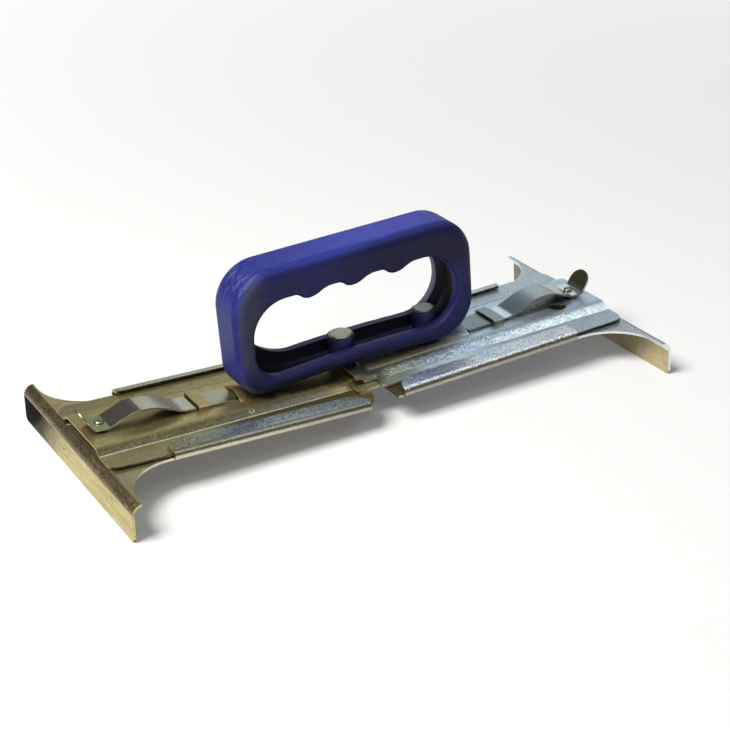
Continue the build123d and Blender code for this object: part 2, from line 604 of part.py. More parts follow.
centre_rivet = rivet(RIVETS[0], HEAD_R[0], CREST, 0)
centre_rivet.part.label = "centre_rivet"
outer_rivet = rivet(RIVETS[1], HEAD_R[1], CREST - SHEET, 4.6)
outer_rivet.part.label = "outer_rivet"

export_step(right_plate.part, "parts/right_plate.step")
export_step(left_plate.part, "parts/left_plate.step")
export_step(right_jaw_slide.part, "parts/right_jaw_slide.step")
export_step(left_jaw_slide.part, "parts/left_jaw_slide.step")
export_step(right_latch_spring.part, "parts/right_latch_spring.step")
export_step(left_latch_spring.part, "parts/left_latch_spring.step")
export_step(right_latch_pin.part, "parts/right_latch_pin.step")
export_step(left_latch_pin.part, "parts/left_latch_pin.step")
export_step(handle.part, "parts/handle.step")
export_step(centre_rivet.part, "parts/centre_rivet.step")
export_step(outer_rivet.part, "parts/outer_rivet.step")
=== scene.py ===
import math

import bmesh
import bpy
from mathutils import Matrix, Vector


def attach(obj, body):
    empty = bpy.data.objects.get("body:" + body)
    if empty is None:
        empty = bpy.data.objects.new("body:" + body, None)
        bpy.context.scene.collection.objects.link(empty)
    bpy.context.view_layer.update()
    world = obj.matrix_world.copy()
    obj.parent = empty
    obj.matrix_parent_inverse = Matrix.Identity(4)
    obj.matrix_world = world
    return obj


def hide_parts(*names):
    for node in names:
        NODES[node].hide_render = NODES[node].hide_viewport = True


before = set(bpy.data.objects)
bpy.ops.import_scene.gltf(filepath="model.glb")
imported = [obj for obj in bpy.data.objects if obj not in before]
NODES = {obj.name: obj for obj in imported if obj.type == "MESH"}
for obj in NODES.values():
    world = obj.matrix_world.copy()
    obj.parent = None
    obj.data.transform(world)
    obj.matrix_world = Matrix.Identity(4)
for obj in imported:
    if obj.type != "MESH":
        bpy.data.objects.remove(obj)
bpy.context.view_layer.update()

MM = 0.001


# ---------------------------------------------------------------- node helper

class Tree:
    """A material's nodes, written as expressions."""

    def __init__(self, name):
        self.m = bpy.data.materials.new(name)
        self.m.use_nodes = True
        self.t = self.m.node_tree
        self.t.nodes.clear()
        self.out = self.t.nodes.new("ShaderNodeOutputMaterial")
        self.bsdf = self.t.nodes.new("ShaderNodeBsdfPrincipled")
        self.t.links.new(self.bsdf.outputs[0], self.out.inputs[0])
        tc = self.t.nodes.new("ShaderNodeTexCoord")
        self.co = tc.outputs["Object"]
        self.no = tc.outputs["Normal"]

    def put(self, socket, value):
        if isinstance(value, bpy.types.NodeSocket):
            self.t.links.new(value, socket)
        else:
            socket.default_value = value

    def set(self, **values):
        for key, value in values.items():
            self.put(self.bsdf.inputs[key.replace("_", " ")], value)

    def math(self, op, a, b=0.0, clamp=False):
        n = self.t.nodes.new("ShaderNodeMath")
        n.operation = op
        n.use_clamp = clamp
        self.put(n.inputs[0], a)
        self.put(n.inputs[1], b)
        return n.outputs[0]

    def vec(self, op, a, b=(0, 0, 0), scale=None):
        n = self.t.nodes.new("ShaderNodeVectorMath")
        n.operation = op
        self.put(n.inputs[0], a)
        if op != "NORMALIZE" and op != "SCALE":
            self.put(n.inputs[1], b)
        if scale is not None:
            self.put(n.inputs[3], scale)
        return n.outputs[0]

    def map(self, vector, scale=(1, 1, 1), rot=(0, 0, 0), loc=(0, 0, 0)):
        n = self.t.nodes.new("ShaderNodeMapping")
        self.put(n.inputs[0], vector)
        n.inputs[1].default_value = loc
        n.inputs[2].default_value = rot
        n.inputs[3].default_value = scale
        return n.outputs[0]

    def noise(self, vector, scale, detail=2.0, rough=0.5, distort=0.0):
        n = self.t.nodes.new("ShaderNodeTexNoise")
        self.put(n.inputs["Vector"], vector)
        n.inputs["Scale"].default_value = scale
        n.inputs["Detail"].default_value = detail
        n.inputs["Roughness"].default_value = rough
        n.inputs["Distortion"].default_value = distort
        return n.outputs[0]

    def cells(self, vector, scale):
        n = self.t.nodes.new("ShaderNodeTexVoronoi")
        self.put(n.inputs["Vector"], vector)
        n.inputs["Scale"].default_value = scale
        return n.outputs["Distance"], n.outputs["Color"]

    def ramp(self, fac, stops, ease=False):
        n = self.t.nodes.new("ShaderNodeValToRGB")
        self.put(n.inputs[0], fac)
        r = n.color_ramp
        r.interpolation = "EASE" if ease else "LINEAR"
        while len(r.elements) < len(stops):
            r.elements.new(0.5)
        for e, (pos, c) in zip(r.elements, stops):
            e.position = pos
            e.color = (c, c, c, 1) if isinstance(c, (int, float)) else (*c, 1)
        return n.outputs[0]

    def step(self, value, lo, hi, a=0.0, b=1.0):
        n = self.t.nodes.new("ShaderNodeMapRange")
        n.interpolation_type = "SMOOTHSTEP"
        self.put(n.inputs[0], value)
        n.inputs[1].default_value = lo
        n.inputs[2].default_value = hi
        n.inputs[3].default_value = a
        n.inputs[4].default_value = b
        return n.outputs[0]

    def mix(self, fac, a, b, blend="MIX"):
        n = self.t.nodes.new("ShaderNodeMix")
        n.data_type = "RGBA"
        n.blend_type = blend
        self.put(n.inputs[0], fac)
        for s, c in ((n.inputs[6], a), (n.inputs[7], b)):
            self.put(s, c if isinstance(c, bpy.types.NodeSocket) else (*c, 1))
        return n.outputs[2]

    def xyz(self, vector):
        n = self.t.nodes.new("ShaderNodeSeparateXYZ")
        self.put(n.inputs[0], vector)
        return n.outputs

    def bump(self, height, strength, distance, normal=None):
        n = self.t.nodes.new("ShaderNodeBump")
        n.inputs["Strength"].default_value = strength
        n.inputs["Distance"].default_value = distance
        self.put(n.inputs["Height"], height)
        if normal is not None:
            self.put(n.inputs["Normal"], normal)
        return n.outputs[0]


# ---------------------------------------------------------------- materials

def zinc(name, paint, rough, grain, seed, streak=0.3):
    """Zinc-plated sheet: crystalline grains, some of them painted near-white as painted sparkle highlights, rolling
    lines, stains and fine scratches. `paint` gives the colour, the strength of the grain and added roughness over the
    piece, in millimetres of the object's own frame.
    """
    t = Tree(name)
    co = t.map(t.co, loc=(seed, seed * 0.7, seed * 1.3))
    at = [t.math("MULTIPLY", c, 1000.0) for c in t.xyz(t.co)]
    facing = t.xyz(t.no)
    blotch = t.noise(co, 38, 3, 0.55)
    cloud = t.noise(t.map(co, loc=(7.3, 2.1, 5.5)), 75, 3, 0.6)
    fine = t.noise(co, 820, 3, 0.6)
    lines = t.noise(t.map(co, (45, 1500, 1500)), 1, 3, 0.6)
    _, rnd = t.cells(co, 1500)
    _, rnd2 = t.cells(t.map(co, loc=(3.1, 1.7, 0.4)), 2900)
    g1, g2, _ = t.xyz(rnd)
    h1, h2, _ = t.xyz(rnd2)
    colour, spark, dull = paint(t, at, facing, blotch, cloud)
    shade = t.ramp(fine, [(0.25, 0.84), (0.75, 1.10)])
    colour = t.mix(1.0, colour, shade, "MULTIPLY")
    colour = t.mix(streak, colour, t.ramp(lines, [(0.3, 0.78), (0.7, 1.12)]), "MULTIPLY")
    mottle = t.math("ADD", t.math("MULTIPLY", t.math("SUBTRACT", g1, 0.5), 0.75),
                    t.math("MULTIPLY", t.math("SUBTRACT", h1, 0.5), 0.55))
    mottle = t.math("ADD", t.math("MULTIPLY", mottle, spark), 1.0)
    colour = t.mix(1.0, colour, mottle, "MULTIPLY")
    # Painted highlight: a few random grains are mixed towards near-white to stand in for sparkle.
    painted_glint = t.math("MULTIPLY", t.math("MAXIMUM", t.step(g2, 0.875, 0.96), t.step(h2, 0.92, 0.97)), spark)
    colour = t.mix(t.math("MULTIPLY", painted_glint, 0.55), colour, (0.88, 0.91, 0.92))
    s1 = t.noise(t.map(co, (22, 420, 420), rot=(0, 0, 0.35)), 1, 1, 0.4)
    s2 = t.noise(t.map(co, (18, 300, 300), rot=(0, 0, -0.9), loc=(2, 5, 1)), 1, 1, 0.4)
    line1 = t.step(t.math("ABSOLUTE", t.math("SUBTRACT", s1, 0.5)), 0.0, 0.012, 1.0, 0.0)
    line2 = t.step(t.math("ABSOLUTE", t.math("SUBTRACT", s2, 0.53)), 0.0, 0.010, 1.0, 0.0)
    patch = t.step(t.noise(co, 55, 2), 0.5, 0.66)
    scratch = t.math("MULTIPLY", t.math("MAXIMUM", line1, line2), patch)
    colour = t.mix(t.math("MULTIPLY", scratch, t.step(colour, 0.010, 0.070, 0.03, 0.35)), colour, (0.80, 0.79, 0.74))
    r = t.math("ADD", t.ramp(fine, [(0.2, rough - 0.06), (0.8, rough + 0.08)]),
               t.math("MULTIPLY", t.math("SUBTRACT", blotch, 0.5), 0.16))
    r = t.math("ADD", t.math("SUBTRACT", r, t.math("MULTIPLY", painted_glint, 0.15)), dull)
    force = t.math("MULTIPLY", t.math("ADD", spark, 0.35), grain)
    tilt = t.vec("SCALE", t.vec("SUBTRACT", rnd, (0.5, 0.5, 0.5)), scale=force)
    tilt2 = t.vec("SCALE", t.vec("SUBTRACT", rnd2, (0.5, 0.5, 0.5)), scale=force)
    height = t.math("ADD", t.math("MULTIPLY", fine, 0.6),
                    t.math("ADD", t.math("MULTIPLY", lines, 0.25), t.math("MULTIPLY", scratch, -0.3)))
    n1 = t.bump(height, 0.28, 0.00006)
    n1 = t.bump(blotch, 0.25, 0.0006, n1)
    normal = t.vec("NORMALIZE", t.vec("ADD", n1, t.vec("ADD", tilt, tilt2)))
    t.set(Base_Color=colour, Metallic=1.0, Roughness=r, Normal=normal)
    t.put(t.bsdf.inputs["Specular Tint"], t.mix(t.step(colour, 0.010, 0.045), (0.55, 0.55, 0.55), (1.0, 1.0, 1.0)))
    return t.m


def hat_zones(t, at, spread=0.0):
    """Sloping sides, their foot line and the flanges of a plate; and how far a point is on the front side."""
    x, y, z = at
    foot_at = t.math("ADD", t.math("MULTIPLY", t.math("ABSOLUTE", x), 0.03172), 19.85)
    if spread:
        near_knee = t.math("MAXIMUM", t.math("SUBTRACT", 15.5, x), 0.0)
        foot_at = t.math("ADD", foot_at, t.math("MULTIPLY", t.math("MULTIPLY", near_knee, near_knee), spread))
    s = t.math("SUBTRACT", t.math("ABSOLUTE", y), foot_at)
    slope = t.math("MULTIPLY", t.step(s, -6.0, -3.0), t.step(s, -0.35, 0.1, 1.0, 0.0))
    foot = t.step(t.math("ABSOLUTE", t.math("ADD", s, 0.05)), 0.1, 0.5, 1.0, 0.0)
    flange = t.step(s, 0.0, 0.5)
    front = t.step(y, -2.0, 0.0, 1.0, 0.0)
    return s, slope, foot, flange, front


def spot(t, at, cx, cy, rx, ry, soft=0.5):
    x, y, z = at
    dx = t.math("DIVIDE", t.math("SUBTRACT", x, cx), rx)
    dy = t.math("DIVIDE", t.math("SUBTRACT", y, cy), ry)
    d = t.math("ADD", t.math("MULTIPLY", dx, dx), t.math("MULTIPLY", dy, dy))
    return t.step(d, 1.0 - soft, 1.0 + soft * 0.4, 1.0, 0.0)


def shade_under_leaf(t, at, colour, strength):
    """Painted shade under the latch leaf's arch: a near-black colour laid where the arch's shadow falls."""
    x, y, z = at
    along = t.math("ABSOLUTE", x)
    zone = t.math("MULTIPLY", t.math("MULTIPLY", t.step(along, 95.0, 103.0), t.step(along, 126.0, 134.0, 1.0, 0.0)),
                  t.step(t.math("ABSOLUTE", y), 7.5, 11.0, 1.0, 0.0))
    return t.mix(t.math("MULTIPLY", zone, strength), colour, (0.035, 0.034, 0.028))


def cut_edges(t, at, facing, colour, plain, dark):
    """Sheared edges: painted near-black on the front-facing outer long sides, as painted shade of the gap below them;
    warmer elsewhere.
    """
    edge = t.step(facing[2], 0.25, 0.5, 1.0, 0.0)
    # Painted shade: the front-facing outer long edges take the near-black colour.
    outer = t.math("MULTIPLY", t.step(facing[1], -0.7, -0.4, 1.0, 0.0), t.step(t.math("ABSOLUTE", at[1]), 29.0, 31.0))
    return t.mix(edge, colour, t.mix(outer, plain, dark))


def paint_yellow_plate(t, at, facing, blotch, cloud):
    x, y, z = at
    s, slope, foot, flange, front = hat_zones(t, at)
    c = t.mix(t.step(blotch, 0.40, 0.64), (0.57, 0.49, 0.195), (0.57, 0.445, 0.185))
    c = t.mix(t.step(cloud, 0.48, 0.68, 0.0, 0.75), c, (0.45, 0.435, 0.19))
    c = t.mix(t.math("MULTIPLY", flange, 0.8), c, (0.375, 0.325, 0.145))
    # Painted shade: the front slope is coloured darker than the plateau, standing in for the darker surroundings it
    # reflects.
    front_slope_light_shade = t.math("MULTIPLY", slope, front)
    c = t.mix(t.math("MULTIPLY", front_slope_light_shade, 0.95), c, t.mix(t.step(x, -95.0, -40.0), (0.130, 0.118, 0.052), (0.165, 0.16, 0.125)))
    # Painted highlight: a bright line along the foot of the front slope, where the bend catches light.
    c = t.mix(t.math("MULTIPLY", t.math("MULTIPLY", foot, front), 0.75), c, (0.86, 0.84, 0.63))
    amber = t.step(x, -38.0, -13.0)
    c = t.mix(t.math("MULTIPLY", amber, 0.7), c, (0.42, 0.345, 0.13))
    c = t.mix(t.step(x, -9.6, -8.6, 0.0, 0.8), c, (0.50, 0.41, 0.11))
    # Painted shadow: a dark band on the plate along the handle's front bottom edge.
    handle_side_light_shade = t.math("MULTIPLY", t.math("MULTIPLY", t.step(x, -58.0, -50.0), t.step(x, -14.0, -10.0, 1.0, 0.0)), t.math("MULTIPLY", t.step(y, -14.7, -13.4), front))
    c = t.mix(t.math("MULTIPLY", handle_side_light_shade, 0.75), c, (0.10, 0.088, 0.052))
    c = t.mix(t.math("MULTIPLY", spot(t, at, -45.5, -12.8, 4.6, 2.4), 0.5), c, (0.74, 0.63, 0.36))
    for cx, cy, r in ((-126.6, -9.9, 1.7), (-106.5, -10.6, 2.0), (-66.2, -19.0, 1.6), (-22.9, -14.6, 2.1)):
        ring = t.math("SUBTRACT", spot(t, at, cx, cy, r, r * 0.8, 0.4), spot(t, at, cx, cy, r * 0.62, r * 0.48, 0.4))
        c = t.mix(t.math("MULTIPLY", ring, 0.55), c, (0.86, 0.79, 0.50))
    stain = t.math("MULTIPLY", t.step(t.noise(t.map(t.co, loc=(0.4, 0.9, 0.2)), 120, 4, 0.65), 0.58, 0.72), t.math("SUBTRACT", 1.0, flange))
    c = t.mix(t.math("MULTIPLY", stain, 0.5), c, (0.32, 0.235, 0.11))
    # Painted shade under the latch leaf's arch, faint on this plate.
    c = shade_under_leaf(t, at, c, 0.10)
    c = cut_edges(t, at, facing, c, (0.38, 0.29, 0.12), (0.06, 0.05, 0.03))
    spark = t.math("ADD", t.math("MULTIPLY", slope, 0.06), 0.22)
    return c, t.math("MULTIPLY", spark, t.math("SUBTRACT", 1.0, t.math("MULTIPLY", amber, 0.75))), 0.0


def paint_grey_plate(t, at, facing, blotch, cloud):
    x, y, z = at
    s, slope, foot, flange, front = hat_zones(t, at, 0.074)
    c = t.mix(t.step(blotch, 0.38, 0.66), (0.56, 0.69, 0.78), (0.51, 0.60, 0.64))
    c = t.mix(t.step(cloud, 0.52, 0.72, 0.0, 0.5), c, (0.57, 0.72, 0.85))
    c = t.mix(t.math("MULTIPLY", flange, 0.8), c, (0.46, 0.55, 0.60))
    # Painted reflection and shadow of the handle: the plateau near it takes a dark olive tone.
    handle_reflection = t.math("MULTIPLY", t.step(x, 26.0, 64.0, 1.0, 0.0), t.math("SUBTRACT", 1.0, t.math("MULTIPLY", flange, 0.45)))
    c = t.mix(t.math("MULTIPLY", handle_reflection, 0.9), c, (0.31, 0.295, 0.175))
    # Painted highlight: the front slope is coloured brighter towards the right, near-white at the far right, standing
    # in for the light it reflects.
    front_slope_light_shade = t.math("MULTIPLY", slope, front)
    slope_highlight = t.ramp(t.math("DIVIDE", x, 120.0), [(0.08, (0.45, 0.475, 0.34)), (0.30, (0.29, 0.37, 0.42)), (0.54, (0.47, 0.60, 0.72)), (0.81, (0.82, 0.96, 1.0))])
    c = t.mix(t.math("MULTIPLY", front_slope_light_shade, 0.95), c, slope_highlight)
    # Painted light: the front flange from the knee outwards is lightened, olive near the knee and near-white further
    # out, where it would mirror the dark handle.
    flange_lightening = t.math("MULTIPLY", t.math("MULTIPLY", flange, front), t.step(x, 48.0, 82.0, 0.95, 0.0))
    c = t.mix(flange_lightening, c, t.mix(t.step(x, 18.0, 36.0), (0.46, 0.49, 0.41), (0.86, 0.96, 1.0)))
    # Painted highlight: a faint bright line along the foot of the front slope.
    c = t.mix(t.math("MULTIPLY", t.math("MULTIPLY", foot, front), 0.30), c, (0.80, 0.84, 0.80))
    # Painted light: the plate strip along the handle's front bottom edge is lightened to fill the handle's shade.
    handle_side_light_shade = t.math("MULTIPLY", t.math("MULTIPLY", t.step(x, 2.0, 6.0), t.step(x, 58.0, 72.0, 1.0, 0.0)), t.math("MULTIPLY", t.step(y, -14.7, -13.4), front))
    c = t.mix(t.math("MULTIPLY", handle_side_light_shade, 0.5), c, (0.62, 0.56, 0.36))
    score = t.math("MULTIPLY", t.step(t.math("ABSOLUTE", t.math("ADD", y, 9.9)), 0.08, 0.32, 1.0, 0.0),
                   t.math("MULTIPLY", t.step(x, 2.0, 8.0), t.step(x, 38.0, 54.0, 1.0, 0.0)))
    c = t.mix(t.math("MULTIPLY", score, 0.5), c, (0.75, 0.66, 0.42))
    knee = t.step(x, 2.0, 4.6, 1.0, 0.0)
    raised = t.math("MULTIPLY", knee, t.step(z, 17.0, 18.0))
    c = t.mix(raised, c, (0.18, 0.173, 0.125))
    c = t.mix(t.math("MULTIPLY", knee, t.step(z, 17.0, 18.0, 1.0, 0.0)), c, (0.80, 0.74, 0.45))
    above = t.math("SUBTRACT", z, t.math("ADD", t.math("MULTIPLY", x, 0.02914), 14.754))
    pressing = t.math("MULTIPLY", t.step(above, 5.5, 6.3), t.step(x, 60.0, 62.0))
    c = t.mix(t.math("MULTIPLY", pressing, 0.8), c, (0.29, 0.34, 0.40))
    # Painted shade under the latch leaf's arch, strong on this plate.
    c = shade_under_leaf(t, at, c, 0.85)
    c = cut_edges(t, at, facing, c, (0.40, 0.34, 0.19), (0.06, 0.055, 0.045))
    return c, t.math("ADD", t.math("MULTIPLY", slope, 0.6), 0.38), t.math("MAXIMUM", t.math("MULTIPLY", handle_side_light_shade, 0.40), t.math("MAXIMUM", t.math("MULTIPLY", raised, 0.12), t.math("MULTIPLY", flange_lightening, 0.20)))


def slide_zones(t, at, facing, base, rise):
    """Front lip with its rolled edge, the wall below it, and the lip edges that face the front on the far side."""
    x, y, z = at
    high = t.step(t.math("SUBTRACT", z, t.math("ADD", t.math("MULTIPLY", t.math("ABSOLUTE", x), rise), base)), 1.6, 2.2)
    up = t.step(facing[2], 0.35, 0.65)
    lip = t.math("MULTIPLY", t.step(y, -2.0, 0.0, 1.0, 0.0), t.math("MULTIPLY", up, high))
    wall = t.step(facing[1], -0.85, -0.55, 1.0, 0.0)
    far = t.math("MULTIPLY", wall, t.step(y, -1.0, 1.0))
    near = t.math("MULTIPLY", wall, t.step(y, -1.0, 1.0, 1.0, 0.0))
    return lip, near, far


def paint_grey_slide(t, at, facing, blotch, cloud):
    x, y, z = at
    lip, near, far = slide_zones(t, at, facing, 14.754, 0.02915)
    c = t.mix(t.step(blotch, 0.38, 0.66), (0.54, 0.61, 0.64), (0.50, 0.54, 0.53))
    c = t.mix(t.step(cloud, 0.52, 0.72, 0.0, 0.5), c, (0.56, 0.64, 0.70))
    band = t.mix(t.step(cloud, 0.38, 0.60), (0.62, 0.77, 0.98), (0.76, 0.88, 1.0))
    band = t.mix(t.step(x, 70.0, 112.0, 0.0, 0.75), band, (0.96, 1.0, 1.0))
    c = t.mix(lip, c, band)
    c = t.mix(t.math("MULTIPLY", lip, t.step(x, 113.5, 117.0)), c, (0.86, 0.88, 0.84))
    # Painted highlight: the lip's rolled front edge is coloured near-white.
    roll = t.math("MULTIPLY", lip, t.math("MULTIPLY", t.step(facing[1], -0.30, -0.10, 1.0, 0.0), t.step(facing[2], 0.70, 0.80)))
    c = t.mix(t.math("MULTIPLY", roll, 0.85), c, (0.88, 0.95, 1.0))
    # Painted shade: the front bend between lip and wall, facing partly up and partly forward, is darkened.
    bend_shade = t.math("MULTIPLY", t.math("MULTIPLY", t.step(facing[2], 0.55, 0.72, 1.0, 0.0), t.step(facing[2], 0.10, 0.25)), t.step(y, -2.0, 0.0, 1.0, 0.0))
    # Painted shade with an amber tone: the slide's end near the knee is darkened, as it lies in the fold's shade.
    inner_end_shade = t.math("MULTIPLY", t.step(x, 14.0, 26.0, 1.0, 0.0), t.math("SUBTRACT", 1.0, lip))
    c = t.mix(t.math("MULTIPLY", inner_end_shade, 0.9), c, (0.24, 0.165, 0.045))
    # Partly painted reflection: front-facing walls take their own tone, warm olive to near-white along the slide,
    # standing in for the floor they mirror, against the blue of the up-facing lip.
    c = t.mix(near, c, t.mix(t.step(x, 116.0, 122.0), (0.43, 0.395, 0.30), (0.86, 0.90, 0.92)))
    c = t.mix(t.math("MULTIPLY", bend_shade, 0.8), c, (0.16, 0.155, 0.13))
    # Painted shade: the far lip's front-facing edge is painted near-black, standing in for the gap and shade under it.
    c = t.mix(far, c, (0.05, 0.047, 0.04))
    rim = t.math("MULTIPLY", t.step(facing[2], 0.2, 0.4, 1.0, 0.0), t.math("MULTIPLY", t.step(x, 116.0, 122.0), t.step(z, 13.4, 14.2)))
    c = t.mix(rim, c, (0.86, 0.90, 0.92))
    jaw = t.math("MULTIPLY", t.math("MULTIPLY", t.step(t.math("ABSOLUTE", facing[0]), 0.5, 0.8), t.step(x, 140.0, 145.0)), t.step(z, 13.4, 14.2, 1.0, 0.0))
    gold = t.mix(t.step(cloud, 0.40, 0.66), (0.64, 0.53, 0.275), (0.55, 0.46, 0.27))
    gold = t.mix(t.step(y, -10.0, 40.0), gold, (0.24, 0.245, 0.20))
    c = t.mix(jaw, c, gold)
    return c, t.math("ADD", t.math("MULTIPLY", lip, 0.8), 0.25), 0.0


def paint_yellow_slide(t, at, facing, blotch, cloud):
    x, y, z = at
    lip, near, far = slide_zones(t, at, facing, 12.592, 0.0433)
    c = t.mix(t.step(blotch, 0.38, 0.66), (0.52, 0.49, 0.235), (0.52, 0.455, 0.24))
    c = t.mix(t.step(cloud, 0.52, 0.72, 0.0, 0.5), c, (0.44, 0.44, 0.225))
    c = t.mix(t.math("MULTIPLY", t.step(x, -146.0, -142.0, 0.45, 0.0), t.step(y, -75.0, 60.0, 1.0, 0.4)), c, (0.36, 0.31, 0.16))
    blue = t.mix(t.step(x, -114.0, -75.0), (0.33, 0.305, 0.165), (0.59, 0.67, 0.68))
    blue = t.mix(t.step(cloud, 0.50, 0.68, 0.0, 0.5), blue, (0.50, 0.55, 0.52))
    # Painted shade: the lip darkens where it bends down at its front edge.
    blue = t.mix(t.step(facing[1], -0.34, -0.10, 0.8, 0.0), blue, (0.15, 0.145, 0.10))
    c = t.mix(lip, c, blue)
    ear = t.math("MULTIPLY", t.step(x, -126.0, -119.0, 1.0, 0.0), t.step(y, 12.0, 40.0))
    c = t.mix(t.math("MULTIPLY", ear, 0.85), c, (0.76, 0.57, 0.32))
    back = t.math("MULTIPLY", t.math("MULTIPLY", t.step(y, 29.0, 30.5), t.step(x, -119.0, -117.5)),
                  t.math("MULTIPLY", t.step(facing[2], 0.55, 0.8), t.step(t.math("ADD", z, t.math("MULTIPLY", x, 0.0433)), 14.2, 14.8)))
    c = t.mix(t.math("MULTIPLY", back, 0.9), c, (0.62, 0.58, 0.45))
    # Painted shade with an amber tone: the slide's end near the knee is darkened, as it lies in the fold's shade.
    inner_end_shade = t.math("MULTIPLY", t.step(x, -26.0, -14.0), t.math("SUBTRACT", 1.0, lip))
    c = t.mix(t.math("MULTIPLY", inner_end_shade, 0.9), c, (0.24, 0.155, 0.04))
    # Partly painted reflection: front-facing walls take a warm cream-olive tone, standing in for the floor they mirror,
    # against the blue of the up-facing lip.
    c = t.mix(near, c, t.mix(t.step(x, -95.0, -10.0), (0.66, 0.61, 0.45), (0.42, 0.395, 0.31)))
    # Painted shade: the front bend between lip and wall is darkened.
    bend_shade = t.math("MULTIPLY", t.math("MULTIPLY", t.step(facing[2], 0.55, 0.72, 1.0, 0.0), t.step(facing[2], 0.10, 0.25)),
                 t.math("MULTIPLY", t.step(y, -2.0, 0.0, 1.0, 0.0), t.step(x, -119.0, -118.0)))
    c = t.mix(t.math("MULTIPLY", bend_shade, 0.8), c, (0.15, 0.14, 0.09))
    # Painted shade: the far lip's front-facing edge is painted near-black, standing in for the gap and shade under it.
    c = t.mix(far, c, (0.06, 0.05, 0.03))
    end = t.step(x, -146.5, -145.5, 1.0, 0.0)
    bend = t.math("MULTIPLY", end, t.math("MULTIPLY", t.step(facing[2], 0.10, 0.24), t.step(facing[0], -0.22, -0.08, 1.0, 0.0)))
    c = t.mix(t.math("MULTIPLY", bend, 0.95), c, t.mix(t.step(cloud, 0.42, 0.62), (0.145, 0.102, 0.044), (0.21, 0.155, 0.066)))
    face = t.math("MULTIPLY", end, t.step(facing[2], 0.08, 0.16, 1.0, 0.0))
    runs = t.noise(t.map(t.co, (300, 40, 700)), 1, 3, 0.6)
    gold = t.mix(t.step(runs, 0.42, 0.68), (0.62, 0.53, 0.235), (0.46, 0.37, 0.145))
    gold = t.mix(t.step(cloud, 0.56, 0.72, 0.0, 0.75), gold, (0.30, 0.235, 0.13))
    # Painted reflection: the jaw face turns near-black towards its far side and top, standing in for the dark
    # surroundings it mirrors.
    tip = t.step(t.math("ADD", t.math("ADD", y, t.math("MULTIPLY", blotch, 14.0)), t.math("MULTIPLY", t.math("SUBTRACT", z, 7.0), 1.3)), 12.0, 68.0)
    gold = t.mix(tip, gold, (0.015, 0.0142, 0.012))
    c = t.mix(face, c, gold)
    spark = t.math("ADD", t.math("MULTIPLY", t.math("MULTIPLY", lip, t.step(facing[1], -0.30, -0.08)), 0.8), t.math("ADD", t.math("MULTIPLY", bend, 0.20), 0.22))
    spark = t.math("MULTIPLY", spark, t.math("SUBTRACT", 1.0, t.math("MULTIPLY", face, tip)))
    return c, spark, t.math("MULTIPLY", t.math("MULTIPLY", face, tip), 0.25)


def paint_rivet(t, at, facing, blotch, cloud):
    x, y, z = at
    up = t.step(facing[2], 0.55, 0.9)
    c = t.mix(t.step(cloud, 0.40, 0.64), (0.43, 0.46, 0.32), (0.36, 0.385, 0.26))
    c = t.mix(up, (0.70, 0.64, 0.46), c)
    c = t.mix(t.step(x, 25.0, 30.0, 0.0, 0.85), c, (0.15, 0.155, 0.135))
    c = t.mix(t.step(x, -110.0, -105.0, 0.85, 0.0), c, (0.20, 0.195, 0.13))
    return c, t.math("ADD", t.math("MULTIPLY", blotch, 0.3), 0.1), 0.0


